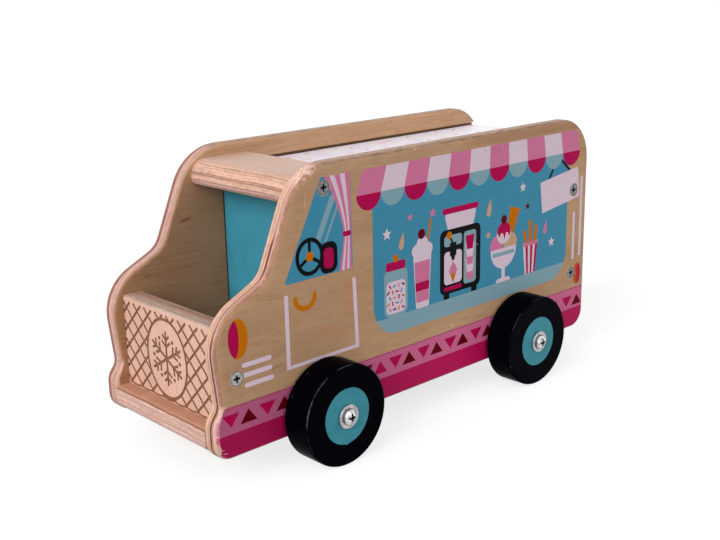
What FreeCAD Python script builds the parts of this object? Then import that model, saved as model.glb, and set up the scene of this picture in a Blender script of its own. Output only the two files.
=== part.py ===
import FreeCAD, Part
import math
import os

# Wooden push-along ice cream van, in millimetres.
# +X is the front, +Y the left side, +Z up.
# The origin lies on the ground, under the middle of the van's length and width.

Vector = FreeCAD.Vector

# ---- Overall sizes ----
body_length = 300.5          # side board, rear edge to bumper nose
board_height = 138.8         # side board, bottom edge to top edge
body_width = 100.0           # over the outer faces of the two side boards
side_thickness = 9.0         # plywood of the side boards
panel_thickness = 12.0       # plywood of the floor, grille, bulkhead and rear panels
header_thickness = 14.0      # plywood of the bar over the windscreen opening
roof_thickness = 6.0         # plywood of the roof panel

# ---- Outline of a side board ----
# Setbacks are measured back from the bumper nose, heights up from the bottom edge.
nose_top_height = 20.2
notch_setback = 5.1
notch_height = 26.7
hood_setback = 0.8
hood_height = 69.5
windscreen_base_setback = 35.7
windscreen_base_height = 86.4
roof_front_setback = 57.9
nose_bottom_radius = 10.0
nose_top_radius = 9.3
notch_radius = 7.0
hood_radius = 26.0
windscreen_base_radius = 14.0
roof_front_radius = 31.5
roof_rear_radius = 26.5
rear_bottom_radius = 11.0
board_edge_radius = 2.0      # sanded rounding along both faces' outlines

# ---- Panels between the side boards ----
floor_rise = 3.9             # floor's underside above the boards' bottom edge
floor_setback = 0.4          # bumper nose to the floor's front end
floor_front_radius = 3.5     # bumper edge: rounding below
floor_top_radius = 2.0       # bumper edge: rounding above
grille_setback = 9.0         # bumper nose to the grille's front face
grille_top_height = 65.5
panel_edge_radius = 0.8
bulkhead_setback = 77.8      # bumper nose to the bulkhead's front face
rear_inset = 8.3             # boards' rear edge to the rear panel's outer face
header_top_drop = 6.5        # boards' top edge down to the header's top
header_setback = 57.2        # bumper nose to the header's front face
header_overhang = 6.1        # header behind the bulkhead's back
header_nose_radius = 9.5     # front face: rounding above
header_bottom_radius = 3.5   # front face: rounding below
header_screw_setback = 74.1  # bumper nose to the header's screws
header_screw_drop = 12.6     # boards' top edge down to the header's screws

# ---- Roof panel and its grooves ----
roof_step = 5.9              # header's top down to the roof's top
roof_rear_inset = 5.3        # boards' rear edge to the roof's rear edge
roof_corner_radius = 6.0
roof_edge_radius = 1.2
roof_groove_depth = 4.0      # groove in each side board, open at the rear
roof_headroom = 1.6          # groove above the roof's top
roof_side_play = 0.3         # roof's edge to the groove's bottom
roof_relief = 0.4            # the roof is this much thinner where it lies in the grooves
roof_shoulder_gap = 0.4      # side board's face to the roof's full thickness

# ---- Wheels ----
wheel_diameter = 55.0
wheel_width = 18.0
wheel_edge_radius = 1.6
wheel_gap = 1.5              # between a wheel and its side board
axle_height = 10.5            # wheel centre above the boards' bottom edge
front_axle_setback = 68.9    # bumper nose to the front axle
rear_axle_inset = 73.3       # boards' rear edge to the rear axle

# ---- Axle screws and washers ----
axle_diameter = 5.0
axle_grip = 20.0             # length of screw in the floor
axle_head_diameter = 9.0
axle_head_height = 2.6
axle_head_rim = 0.7          # straight edge of the head below its dome
axle_clearance = 0.08        # radial, screw to wheel bore
washer_diameter = 13.0
washer_thickness = 1.3
washer_play = 0.2            # between a wheel's face and its washer
washer_chamfer = 0.25

# ---- Countersunk body screws ----
screw_diameter = 3.6
screw_head_diameter = 7.8
screw_grip = 22.0            # length of screw beyond the side board
screw_recess = 0.1           # head below the board's face
fit_clearance = 0.05         # radial, screws in their holes
rear_screw_height = 38.2     # lower rear screw above the boards' bottom edge
rear_screw_spread = 54.9     # between the upper and lower rear screws

# ---- Cross recess in a screw head ----
cross_span_ratio = 0.52      # of the head's diameter
cross_width_ratio = 0.13
cross_depth = 1.4

# ---- Places worked out from the sizes ----
rear_x = -body_length / 2
nose_x = body_length / 2
outer_y = body_width / 2
inner_y = outer_y - side_thickness
wheel_radius = wheel_diameter / 2
board_bottom = wheel_radius - axle_height
board_top = board_bottom + board_height
floor_bottom = board_bottom + floor_rise
floor_top = floor_bottom + panel_thickness
header_top = board_top - header_top_drop
header_bottom = header_top - header_thickness
header_front = nose_x - header_setback
roof_top = header_top - roof_step
roof_bottom = roof_top - roof_thickness
roof_rear = rear_x + roof_rear_inset
rear_panel_x = rear_x + rear_inset
grille_front = nose_x - grille_setback
bulkhead_front = nose_x - bulkhead_setback
bulkhead_back = bulkhead_front - panel_thickness
header_rear = bulkhead_back - header_overhang
floor_front = nose_x - floor_setback
front_axle_x = nose_x - front_axle_setback
rear_axle_x = rear_x + rear_axle_inset
wheel_inner_y = outer_y + wheel_gap
wheel_outer_y = wheel_inner_y + wheel_width
washer_y = wheel_outer_y + washer_play
head_y = washer_y + washer_thickness
head_tip_y = head_y + axle_head_height


def rounded_wire(corners):
    """Closed wire of lines and tangent arcs from rows of (x, z, corner radius)."""
    points = [Vector(x, 0, z) for x, z, radius in corners]
    count = len(corners)
    arcs = []
    for i, (x, z, radius) in enumerate(corners):
        back = (points[i - 1] - points[i]).normalize()
        ahead = (points[(i + 1) % count] - points[i]).normalize()
        half = back.getAngle(ahead) / 2
        reach = radius / math.tan(half)
        middle = (back + ahead).normalize() * (radius / math.sin(half) - radius)
        start = points[i] + back * reach
        end = points[i] + ahead * reach
        arcs.append((start, points[i] + middle, end))
    edges = []
    for i, (start, middle, end) in enumerate(arcs):
        edges.append(Part.Arc(start, middle, end).toShape())
        edges.append(Part.LineSegment(end, arcs[(i + 1) % count][0]).toShape())
    return Part.Wire(edges)


def plate(wire, y_start, y_end):
    """Plate cut to an outline in the XZ plane, from one Y to another."""
    blank = Part.Face(wire).extrude(Vector(0, y_end - y_start, 0))
    blank.translate(Vector(0, y_start, 0))
    return blank


def block(x_range, y_range, z_range):
    """Board with square edges between pairs of X, Y and Z limits."""
    size = [high - low for low, high in (x_range, y_range, z_range)]
    corner = Vector(x_range[0], y_range[0], z_range[0])
    return Part.makeBox(size[0], size[1], size[2], corner)


def long_edges(shape, length, x=None, z=None):
    """Straight edges along Y of the given length, at one X or Z or at both."""
    found = []
    for edge in shape.Edges:
        middle = edge.BoundBox.Center
        along_y = abs(edge.BoundBox.YLength - length) < 0.01
        at_x = x is None or abs(middle.x - x) < 0.01
        at_z = z is None or abs(middle.z - z) < 0.01
        if along_y and edge.BoundBox.XLength < 0.01 and at_x and at_z:
            found.append(edge)
    return found


def round_edges(disc):
    """Circular edges at both ends of a disc whose axis runs along Y."""
    return [edge for edge in disc.Edges if edge.BoundBox.YLength < 0.01]


def turned(profile, x, z):
    """Solid turned about an axis along +Y through (x, z), from (y, radius) points."""
    points = [Vector(x + radius, y, z) for y, radius in profile]
    outline = Part.Face(Part.makePolygon(points + points[:1]))
    return outline.revolve(Vector(x, 0, z), Vector(0, 1, 0), 360)


def rod(radius, y_start, y_end, x, z):
    """Round bar along Y."""
    return Part.makeCylinder(radius, y_end - y_start, Vector(x, y_start, z), Vector(0, 1, 0))


def cross_recess(head_diameter, face_y, x, z):
    """Cross-shaped cutter sunk into a screw head from its outer face."""
    span = head_diameter * cross_span_ratio / 2
    half = head_diameter * cross_width_ratio / 2
    y_range = (face_y - cross_depth, face_y + 1.0)
    flat = block((x - span, x + span), y_range, (z - half, z + half))
    upright = block((x - half, x + half), y_range, (z - span, z + span))
    return flat.fuse(upright)


def mirrored(shape):
    """The same piece on the right side."""
    return shape.mirror(Vector(0, 0, 0), Vector(0, 1, 0))


def save(name, shape):
    shape.exportStep("parts/" + name + ".step")


def side_outline():
    """Van-shaped outline of a side board."""
    bottom = board_bottom
    return rounded_wire([
        (rear_x, bottom, rear_bottom_radius),
        (nose_x, bottom, nose_bottom_radius),
        (nose_x, bottom + nose_top_height, nose_top_radius),
        (nose_x - notch_setback, bottom + notch_height, notch_radius),
        (nose_x - hood_setback, bottom + hood_height, hood_radius),
        (nose_x - windscreen_base_setback, bottom + windscreen_base_height, windscreen_base_radius),
        (nose_x - roof_front_setback, board_top, roof_front_radius),
        (rear_x, board_top, roof_rear_radius),
    ])


# Each row: name, X and Z of a countersunk screw through a side board.
rear_screw_x = rear_panel_x + panel_thickness / 2
rear_screw_z = board_bottom + rear_screw_height
grille_screw_x = grille_front - panel_thickness / 2
grille_screw_z = (floor_top + board_bottom + grille_top_height) / 2
body_screws = [
    ("header", nose_x - header_screw_setback, board_top - header_screw_drop),
    ("grille", grille_screw_x, grille_screw_z),
    ("rear_upper", rear_screw_x, rear_screw_z + rear_screw_spread),
    ("rear_lower", rear_screw_x, rear_screw_z),
]

# Each row: name and X of an axle.
axles = [
    ("front", front_axle_x),
    ("rear", rear_axle_x),
]
axle_z = wheel_radius


def body_screw(x, z):
    """Left countersunk screw, its head just under the board's outer face."""
    face = outer_y - screw_recess
    head = screw_head_diameter / 2
    shank = screw_diameter / 2
    tip = inner_y - screw_grip
    profile = [
        (face, 0),
        (face, head),
        (face - (head - shank), shank),
        (tip, shank),
        (tip, 0),
    ]
    return turned(profile, x, z).cut(cross_recess(screw_head_diameter, face, x, z))


def body_screw_hole(x, z):
    """Left countersunk hole for a body screw, right through to its tip."""
    head = screw_head_diameter / 2 + fit_clearance
    shank = screw_diameter / 2 + fit_clearance
    face = outer_y - screw_recess
    profile = [
        (outer_y + 1.0, 0),
        (outer_y + 1.0, head),
        (face, head),
        (face - (head - shank), shank),
        (inner_y - screw_grip - fit_clearance, shank),
        (inner_y - screw_grip - fit_clearance, 0),
    ]
    return turned(profile, x, z)


def axle_screw(x):
    """Left axle screw: domed head over a short rim, and a plain shank into the floor."""
    shank = rod(axle_diameter / 2, inner_y - axle_grip, head_y, x, axle_z)
    head = axle_head_diameter / 2
    rim_y = head_y + axle_head_rim
    dome_height = head_tip_y - rim_y
    dome_radius = (head ** 2 + dome_height ** 2) / (2 * dome_height)
    ball = Part.makeSphere(dome_radius, Vector(x, head_tip_y - dome_radius, axle_z))
    cap = rod(head, head_y, head_tip_y + 1.0, x, axle_z).common(ball)
    screw = shank.fuse(cap).removeSplitter()
    return screw.cut(cross_recess(axle_head_diameter, head_tip_y, x, axle_z))


def axle_hole(x):
    """Left hole for an axle screw, through the board and into the floor."""
    reach = inner_y - axle_grip - fit_clearance
    return rod(axle_diameter / 2 + fit_clearance, reach, outer_y + 1.0, x, axle_z)


left_holes = [body_screw_hole(x, z) for name, x, z in body_screws]
left_holes += [axle_hole(x) for name, x in axles]
all_holes = left_holes + [mirrored(hole) for hole in left_holes]


def roof_groove():
    """Left groove that holds the roof's edge, from the header to the board's rear."""
    z_range = (roof_bottom, roof_top + roof_headroom)
    return block((rear_x - 1.0, header_rear), (inner_y - 1.0, inner_y + roof_groove_depth), z_range)


def side_board():
    """Left side board, with its outline rounded over on both faces."""
    board = plate(side_outline(), inner_y, outer_y)
    rims = [edge for edge in board.Edges if edge.BoundBox.YLength < 0.01]
    return board.makeFillet(board_edge_radius, rims).cut(left_holes + [roof_groove()])


def floor_board():
    """Floor whose front end is the bumper."""
    width = 2 * inner_y
    board = block((rear_panel_x, floor_front), (-inner_y, inner_y), (floor_bottom, floor_top))
    board = board.makeFillet(floor_front_radius, long_edges(board, width, floor_front, floor_bottom))
    board = board.makeFillet(floor_top_radius, long_edges(board, width, floor_front, floor_top))
    return board.cut(all_holes)


def grille_board():
    """Upright board that stands on the floor behind the bumper."""
    top = board_bottom + grille_top_height
    x_range = (grille_front - panel_thickness, grille_front)
    board = block(x_range, (-inner_y, inner_y), (floor_top, top))
    board = board.makeFillet(panel_edge_radius, long_edges(board, 2 * inner_y, z=top))
    return board.cut(all_holes)


def cab_bulkhead():
    """Full-width wall between the open cab and the load space."""
    x_range = (bulkhead_back, bulkhead_front)
    return block(x_range, (-inner_y, inner_y), (floor_top, header_bottom))


def rear_panel():
    """Back wall, standing on the floor and carrying the roof panel."""
    x_range = (rear_panel_x, rear_panel_x + panel_thickness)
    return block(x_range, (-inner_y, inner_y), (floor_top, roof_bottom)).cut(all_holes)


def roof_header():
    """Thick bar over the windscreen opening, its front face rounded like a nose."""
    nose_radius = min(header_nose_radius, header_thickness - header_bottom_radius - 0.1)
    outline = rounded_wire([
        (header_rear, header_bottom, panel_edge_radius),
        (header_front, header_bottom, header_bottom_radius),
        (header_front, header_top, nose_radius),
        (header_rear, header_top, panel_edge_radius),
    ])
    return plate(outline, -inner_y, inner_y).cut(all_holes)


def roof_panel():
    """White roof from the header to past the rear panel, its thinned edges lying in the grooves."""
    reach = inner_y + roof_groove_depth - roof_side_play
    panel = block((roof_rear, header_rear), (-reach, reach), (roof_bottom, roof_top))
    corners = [edge for edge in panel.Edges if edge.BoundBox.ZLength > 1.0]
    rear_corners = [edge for edge in corners if edge.BoundBox.Center.x < 0]
    panel = panel.makeFillet(roof_corner_radius, rear_corners)
    rim = [edge for edge in panel.Edges if edge.BoundBox.ZMin > roof_top - 0.01]
    side_rim = [edge for edge in rim if edge.BoundBox.Center.x < header_rear - 1.0]
    panel = panel.makeFillet(roof_edge_radius, side_rim)
    x_range = (roof_rear - 1.0, header_rear + 1.0)
    relief = block(x_range, (inner_y - roof_shoulder_gap, reach + 1.0), (roof_top - roof_relief, roof_top + 1.0))
    return panel.cut([relief, mirrored(relief)])


def wheel(x):
    """Left wheel with rounded rims and a bore that runs on its screw."""
    disc = rod(wheel_radius, wheel_inner_y, wheel_outer_y, x, axle_z)
    disc = disc.makeFillet(wheel_edge_radius, round_edges(disc))
    bore = rod(axle_diameter / 2 + axle_clearance, wheel_inner_y - 1.0, wheel_outer_y + 1.0, x, axle_z)
    return disc.cut(bore)


def washer(x):
    """Left washer between a wheel and its screw's head."""
    disc = rod(washer_diameter / 2, washer_y, head_y, x, axle_z)
    disc = disc.makeChamfer(washer_chamfer, round_edges(disc))
    bore = rod(axle_diameter / 2 + axle_clearance, washer_y - 1.0, head_y + 1.0, x, axle_z)
    return disc.cut(bore)


def save_pair(name, left_shape):
    """A left piece and its mirror image on the right."""
    save(name + "_left", left_shape)
    save(name + "_right", mirrored(left_shape))


os.makedirs("parts", exist_ok=True)
save_pair("side_board", side_board())
save("floor_board", floor_board())
save("grille_board", grille_board())
save("cab_bulkhead", cab_bulkhead())
save("rear_panel", rear_panel())
save("roof_header", roof_header())
save("roof_panel", roof_panel())
for screw_name, screw_x, screw_z in body_screws:
    save_pair(screw_name + "_screw", body_screw(screw_x, screw_z))
for axle_name, axle_x in axles:
    save_pair(axle_name + "_wheel", wheel(axle_x))
    save_pair(axle_name + "_washer", washer(axle_x))
    save_pair(axle_name + "_axle_screw", axle_screw(axle_x))
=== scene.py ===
import math
import random
from functools import partialmethod

import bpy
from mathutils import Matrix, Vector
from mathutils.geometry import delaunay_2d_cdt


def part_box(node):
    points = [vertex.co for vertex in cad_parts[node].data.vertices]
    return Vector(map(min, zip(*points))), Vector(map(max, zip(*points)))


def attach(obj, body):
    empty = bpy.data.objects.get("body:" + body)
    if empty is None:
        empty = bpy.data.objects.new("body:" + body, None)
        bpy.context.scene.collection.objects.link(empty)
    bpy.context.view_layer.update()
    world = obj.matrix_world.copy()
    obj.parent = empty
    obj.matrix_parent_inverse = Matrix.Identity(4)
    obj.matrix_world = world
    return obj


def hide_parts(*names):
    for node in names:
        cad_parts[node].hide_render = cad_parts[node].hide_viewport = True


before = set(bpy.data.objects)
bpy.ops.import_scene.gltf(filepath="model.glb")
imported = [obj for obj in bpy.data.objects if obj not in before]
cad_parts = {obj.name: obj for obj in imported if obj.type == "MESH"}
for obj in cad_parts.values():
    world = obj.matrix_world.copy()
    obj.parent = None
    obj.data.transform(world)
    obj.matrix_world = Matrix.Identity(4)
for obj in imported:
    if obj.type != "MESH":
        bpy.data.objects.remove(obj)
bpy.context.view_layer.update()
scene = bpy.context.scene

# Wooden toy ice cream van: printed plywood sides, natural plywood panels, a painted roof and bulkhead, lacquered
# wheels. +X is the front, +Y the left side, +Z up. Lengths are in millimetres until a mesh is made.

MM = 0.001
X, Y, Z = 0, 1, 2
print_lift = 0.03            # ink above the wood


def box_mm(node):
    """Lowest and highest corner of a CAD node, in millimetres."""
    low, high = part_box(node)
    return low / MM, high / MM


def middle_mm(node):
    """Middle of a CAD node, in millimetres."""
    return sum(box_mm(node), Vector()) / 2


side_low, side_high = box_mm("side_board_left")
nose, rear = side_high.x, side_low.x
low, high = side_low.z, side_high.z
outer_y = side_high.y
board_thickness = side_high.y - side_low.y

# ---- outlines


def polar(centre, reach, degrees, squash=1.0):
    """Point at a distance and an angle from a centre; squash scales the second axis."""
    turn = math.radians(degrees)
    return centre[0] + reach * math.cos(turn), centre[1] + reach * squash * math.sin(turn)


def arc(centre, radius, start, end, steps=12, squash=1.0):
    """Points from one angle to another, in degrees."""
    return [polar(centre, radius, start + (end - start) * i / steps, squash) for i in range(steps + 1)]


def ellipse(centre, half_width, half_height, steps=40):
    return arc(centre, half_width, 0, 360, steps, half_height / half_width)[:-1]


def moved(outline, x, z, tilt=0.0):
    """Outline turned about its origin, in degrees, and then moved."""
    turn = Matrix.Rotation(math.radians(tilt), 2)
    return [tuple(turn @ Vector(point) + Vector((x, z))) for point in outline]


def rounded(corners, steps=6):
    """Closed outline through rows of (x, z, radius), with each corner rounded."""
    outline = []
    for i, (x, z, radius) in enumerate(corners):
        if radius == 0:
            outline.append((x, z))
            continue
        here = Vector((x, z))
        back = (Vector(corners[i - 1][:2]) - here).normalized()
        ahead = (Vector(corners[(i + 1) % len(corners)][:2]) - here).normalized()
        half = back.angle(ahead) / 2
        centre = here + (back + ahead).normalized() * (radius / math.sin(half))
        start, end = (here + way * (radius / math.tan(half)) - centre for way in (back, ahead))
        sweep = start.angle_signed(end)
        for step in range(steps + 1):
            outline.append(tuple(centre + Matrix.Rotation(-sweep * step / steps, 2) @ start))
    return outline


def bar(x0, x1, z0, z1, radius=0.0):
    """Upright rectangle."""
    return rounded([(x0, z0, radius), (x1, z0, radius), (x1, z1, radius), (x0, z1, radius)])


def taper(foot_half, crown_half, foot, crown, foot_radius=0.0, crown_radius=0.0):
    """Upright shape round x = 0 whose sides may slant."""
    return rounded([(-foot_half, foot, foot_radius), (foot_half, foot, foot_radius),
                    (crown_half, crown, crown_radius), (-crown_half, crown, crown_radius)])


def stroke(path, width, ends=6):
    """Outline of a pen line of one width along a path; ends is the steps round each end, or 0 if it is square."""
    path = [Vector(point) for point in path]
    sides = []
    for i, point in enumerate(path):
        back = (point - path[i - 1]).normalized() if i > 0 else None
        ahead = (path[i + 1] - point).normalized() if i < len(path) - 1 else None
        along = ((back or ahead) + (ahead or back)).normalized()
        sides.append(Vector((-along.y, along.x)) * (width / 2 / max(along.dot(ahead or back), 0.3)))

    def cap(centre, side):
        return [centre + Matrix.Rotation(-math.pi * i / ends, 2) @ side for i in range(1, ends)]

    left = [point + side for point, side in zip(path, sides)]
    right = [point - side for point, side in zip(path, sides)][::-1]
    return [tuple(p) for p in left + cap(path[-1], sides[-1]) + right + cap(path[0], -sides[0])]


def dash(centre, degrees, half_length, width, ends):
    """Short pen line about its middle."""
    return stroke([polar(centre, -half_length, degrees), polar(centre, half_length, degrees)], width, ends)


def drop(centre, width, height, tilt=0.0, steps=14):
    """Tear drop with its point up."""
    turns = [math.pi * i / steps for i in range(2 * steps)]
    outline = [(math.sin(t) * math.sin(t / 2) ** 1.5 * width / 2, math.cos(t) * height / 2) for t in turns]
    return moved(outline, *centre, tilt)


def star(centre, radius):
    """Five-pointed star."""
    return [polar(centre, radius * (0.45 if i % 2 else 1.0), 90 + 36 * i) for i in range(10)]


def partition(layers, on_first=False):
    """Cuts overlapping outlines into triangles that don't overlap, each under its topmost layer's label.

    Each layer is (label, outline), the lowest first. A label of None leaves a hole. With on_first, only what lies
    on the first outline is kept.
    """
    points, faces = [], []
    for _, outline in layers:
        following = outline[1:] + outline[:1]
        area = sum(a[0] * b[1] - b[0] * a[1] for a, b in zip(outline, following))
        faces.append(list(range(len(points), len(points) + len(outline))))
        points += [Vector(point) for point in (outline if area > 0 else outline[::-1])]
    flat, _, triangles, _, _, sources = delaunay_2d_cdt(points, [], faces, 1, 1e-4)
    kept = {}
    for triangle, source in zip(triangles, sources):
        label = layers[max(source)][0] if source else None
        if label is not None and (0 in source or not on_first):
            kept.setdefault(label, []).append(tuple(triangle))
    return flat, kept


# ---- shader fields and finishes


def tone(red, green, blue):
    """Linear colour from screen values of 0 to 255."""
    shares = [value / 255 for value in (red, green, blue)]
    return tuple(s / 12.92 if s <= 0.04045 else ((s + 0.055) / 1.055) ** 2.4 for s in shares) + (1.0,)


def grey(level):
    """Linear grey of 0 to 1."""
    return level, level, level, 1.0


def put(socket, value):
    """Sets a shader socket to a value, or links a field to it."""
    if isinstance(value, Field):
        value.tree.links.new(value.socket, socket)
    else:
        socket.default_value = value


def add_node(tree, kind, inputs, output=0, **settings):
    """Adds a shader node and gives back one of its outputs as a field."""
    node = tree.nodes.new("ShaderNode" + kind)
    for name, value in settings.items():
        setattr(node, name, value)
    for name, value in inputs.items():
        put(node.inputs[name], value)
    return Field(tree, node.outputs[output])


class Field:
    """Value, vector or colour that varies over a surface: one output of a shader node, with its arithmetic."""

    def __init__(self, tree, socket):
        self.tree, self.socket = tree, socket

    def math(self, operation, *others):
        return add_node(self.tree, "Math", dict(enumerate((self, *others))), operation=operation)

    __add__ = partialmethod(math, "ADD")
    __sub__ = partialmethod(math, "SUBTRACT")
    __mul__ = partialmethod(math, "MULTIPLY")
    __truediv__ = partialmethod(math, "DIVIDE")
    __abs__ = partialmethod(math, "ABSOLUTE")

    def __rsub__(self, other):
        return add_node(self.tree, "Math", {0: other, 1: self}, operation="SUBTRACT")

    def vector(self, operation, *others, output=0):
        return add_node(self.tree, "VectorMath", dict(enumerate((self, *others))), output, operation=operation)

    def other(self, output):
        """Another output of the same node."""
        return Field(self.tree, self.socket.node.outputs[output])

    def axes(self):
        """The three parts of a vector."""
        first = add_node(self.tree, "SeparateXYZ", {0: self})
        return first, first.other(Y), first.other(Z)

    def fade(self, start, end):
        """Smooth change from 0 at start to 1 at end; end may be below start."""
        from_end, to_end = (0.0, 1.0) if start < end else (1.0, 0.0)
        inputs = {"Value": self, "From Min": min(start, end), "From Max": max(start, end),
                  "To Min": from_end, "To Max": to_end}
        return add_node(self.tree, "MapRange", inputs, "Result", interpolation_type="SMOOTHSTEP")

    def mix(self, under, over):
        """Colour that goes from one, where this is 0, to the other, where this is 1."""
        return add_node(self.tree, "Mix", {0: self, 6: under, 7: over}, 2, data_type="RGBA")

    def scale(self, colour):
        """Colour made lighter or darker by this."""
        return add_node(self.tree, "VectorMath", {0: colour, "Scale": self}, operation="SCALE")

    def ramp(self, stops):
        """Colour that runs through rows of (share, colour)."""
        colour = add_node(self.tree, "ValToRGB", {0: self}, "Color")
        elements = colour.socket.node.color_ramp.elements
        elements[0].position, elements[0].color = stops[0]
        elements[1].position, elements[1].color = stops[-1]
        for share, between in stops[1:-1]:
            elements.new(share).color = between
        return colour


class Finish:
    """One material. Places in it are in millimetres, and noise is in cycles a metre."""

    def __init__(self, name, roughness=0.5, metallic=0.0, specular=0.5):
        self.material = bpy.data.materials.new(name)
        self.material.use_nodes = True
        self.tree = self.material.node_tree
        self.shader = self.tree.nodes["Principled BSDF"].inputs
        put(self.shader["Roughness"], roughness)
        put(self.shader["Metallic"], metallic)
        put(self.shader["Specular IOR Level"], specular)
        self.facing = add_node(self.tree, "TexCoord", {}, "Normal")
        self.place = self.facing.other("Object").vector("MULTIPLY", (1 / MM,) * 3)

    def grain(self, axis, along, across, detail=3.0, distortion=0.0):
        """Noise of 0 to 1, stretched along one axis."""
        cycles = [across * MM] * 3
        cycles[axis] = along * MM
        inputs = {"Vector": self.place.vector("MULTIPLY", cycles), "Scale": 1.0, "Detail": detail,
                  "Roughness": 0.55, "Distortion": distortion}
        return add_node(self.tree, "TexNoise", inputs, "Fac")

    def noise(self, cycles, detail=3.0):
        """Noise of 0 to 1."""
        return self.grain(X, cycles, cycles, detail)

    def specks(self, cycles, size, share):
        """Small scattered spots: 1 inside, 0 outside. share is the part of the cells that has one."""
        cells = self.place.vector("MULTIPLY", (cycles * MM,) * 3)
        distance = add_node(self.tree, "TexVoronoi", {"Vector": cells, "Scale": 1.0}, "Distance")
        return distance.fade(size, 0.6 * size) * distance.other("Color").axes()[0].math("LESS_THAN", share)

    def reach(self, node):
        """Distance from the middle of a CAD node, seen from the side."""
        offset = self.place.vector("SUBTRACT", middle_mm(node)).vector("MULTIPLY", (1.0, 0.0, 1.0))
        return offset.vector("LENGTH", output="Value")

    def spot(self, x, z, half_length, half_width, tilt):
        """Soft oval seen from the side: 1 inside, 0 outside."""
        offset = self.place.vector("SUBTRACT", (x, 0.0, z))
        total = 0.0
        for half, degrees in ((half_length, tilt), (half_width, tilt + 90)):
            across, up = polar((0.0, 0.0), 1 / half, degrees)
            part = offset.vector("DOT_PRODUCT", (across, 0.0, up), output="Value")
            total = part * part + total
        return total.fade(1.5, 0.3)

    def apply(self, colour, height=None, strength=0.0, rough=None, distance=0.0002):
        """Gives the shader its colour, bump and roughness; strength and distance, in metres, are the bump's."""
        put(self.shader["Base Color"], colour)
        if rough is not None:
            put(self.shader["Roughness"], rough)
        if height is not None:
            bump = {"Height": height, "Strength": strength, "Distance": distance}
            put(self.shader["Normal"], add_node(self.tree, "Bump", bump))
        return self.material


# ---- plywood and ink

# Face veneers: light, dark and streak colours of the printed sides and of the panels between them.
side_veneer = (tone(202, 163, 127), tone(190, 149, 113), tone(150, 106, 75))
grille_veneer = (tone(219, 177, 158), tone(205, 162, 142), tone(175, 127, 103))
header_veneer = (tone(207, 172, 153), tone(194, 157, 138), tone(164, 122, 100))
warm_veneer = (tone(204, 153, 126), tone(186, 135, 108), tone(155, 104, 76))

# Cut plies.
long_grain = tone(243, 193, 168)
pink_grain = tone(234, 187, 172)
mauve_grain = tone(208, 166, 156)
face_ply = tone(190, 138, 112)
# The right board's outer plies are dark: partly their colour, partly painted shade on the rounding that turns away
# from the light.
right_outer_ply_and_shade = tone(168, 114, 98)
rosy_grain = tone(224, 179, 167)
pale_rose = tone(238, 194, 184)
glue_brown = tone(102, 55, 42)
weathered_top = (tone(143, 110, 88), tone(173, 140, 117))

# Cut edge of each board: each layer's colour and the shares of the thickness at which it is that colour, then glue
# lines and cracks as rows of (share of the thickness, half width in mm, strength).
left_edge = (
    [(face_ply, 0.0, 0.15), (pink_grain, 0.22, 0.3), (long_grain, 0.42, 1.0)],
    [(0.18, 0.2, 0.35), (0.37, 0.72, 1.0), (0.61, 0.3, 0.5), (0.86, 0.16, 0.3)],
)
right_edge = (
    [(right_outer_ply_and_shade, 0.0, 0.38), (pink_grain, 0.5, 0.7), (mauve_grain, 0.85), (pink_grain, 1.0)],
    [(0.1, 0.4, 0.5), (0.4, 0.3, 0.5), (0.67, 0.24, 0.5), (0.85, 0.15, 0.3)],
)
header_edge = (
    [(long_grain, 0.0, 0.68), (rosy_grain, 0.76, 0.88), (pink_grain, 0.95), (long_grain, 1.0)],
    [(0.16, 0.22, 0.45), (0.23, 0.2, 0.4), (0.45, 0.32, 0.6), (0.52, 0.42, 0.6), (0.74, 0.28, 0.5),
     (0.86, 0.2, 0.35)],
)
bumper_edge = (
    [(face_ply, 0.0, 0.08), (long_grain, 0.12, 0.21), (pale_rose, 0.25, 0.43), (long_grain, 0.47, 0.55),
     (pale_rose, 0.59, 0.76), (pink_grain, 0.84, 1.0)],
    [(0.085, 0.3, 0.75), (0.235, 0.13, 0.4), (0.31, 0.3, 0.35), (0.45, 0.12, 0.35), (0.57, 0.26, 0.6),
     (0.7, 0.14, 0.3), (0.82, 0.2, 0.45)],
)
# Across the grille's top the layers are darker from about 0.6 to 0.8 of the way back: partly their colour, partly
# painted shade.
grille_edge = (
    [(tone(210, 178, 165), 0.0), (tone(214, 180, 164), 0.13), (tone(208, 175, 157), 0.2), (tone(222, 187, 169), 0.34),
     (tone(212, 176, 158), 0.42), (tone(210, 172, 152), 0.54), (tone(192, 146, 124), 0.61),
     (tone(190, 148, 130), 0.78), (tone(212, 176, 158), 0.86), (tone(246, 216, 200), 0.96, 1.0)],
    [(0.17, 0.2, 0.35), (0.39, 0.2, 0.4), (0.57, 0.22, 0.5), (0.7, 0.3, 0.4), (0.8, 0.2, 0.4)],
)


def veneer(finish, axis, tones):
    """Colour and pores of a birch face along an axis: broad soft figure, fine pores and a few reddish lines."""
    light, dark, streak = tones
    pores = finish.grain(axis, 60, 1500, 2)
    base = finish.grain(axis, 4, 26, 4, 1.5).fade(0.3, 0.7).mix(dark, light)
    base = (pores.fade(0.42, 0.76) * 0.36).mix(base, streak)
    base = (finish.grain(axis, 110, 240).fade(0.5, 0.72) * 0.14).mix(base, streak)
    base = (finish.grain(axis, 6, 95, 3, 0.8).fade(0.62, 0.8) * 0.15).mix(base, streak)
    return (finish.grain(axis, 9, 14, 1) * 0.24 + 0.88).scale(base), pores


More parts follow.
